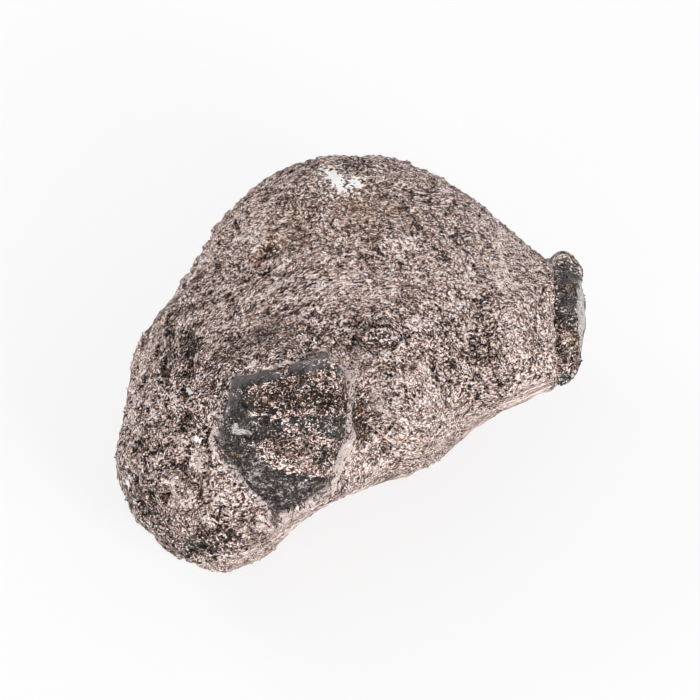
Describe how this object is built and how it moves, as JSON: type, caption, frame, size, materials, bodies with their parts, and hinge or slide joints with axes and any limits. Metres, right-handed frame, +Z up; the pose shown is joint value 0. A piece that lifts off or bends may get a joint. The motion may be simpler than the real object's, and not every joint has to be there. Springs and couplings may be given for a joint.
{
  "type": "alexandrite in mica schist",
  "caption": "Rounded lump of grey-brown mica schist on a small flat spot, with dark six-sided alexandrite crystals set in its broad face and its end.",
  "frame": {"origin": "on the table, under the middle of the bounding box, on the flat spot that the lump rests on", "axes": "+X along the lump towards the crystal in its end, +Y away from the viewer, +Z up"},
  "size_m": [0.075, 0.0708, 0.0398],
  "materials": {
    "mica_schist": "grainy, glinting with mica, pinkish grey speckled with black biotite",
    "alexandrite": "waxy dark grey-green, with remnants of mica on its faces"
  },
  "bodies": {
    "root": {"mica_schist_matrix": "mica_schist", "alexandrite_crystal_large": "alexandrite", "alexandrite_crystal_edge": "alexandrite", "alexandrite_crystal_small": "alexandrite"}
  },
  "joints": []
}
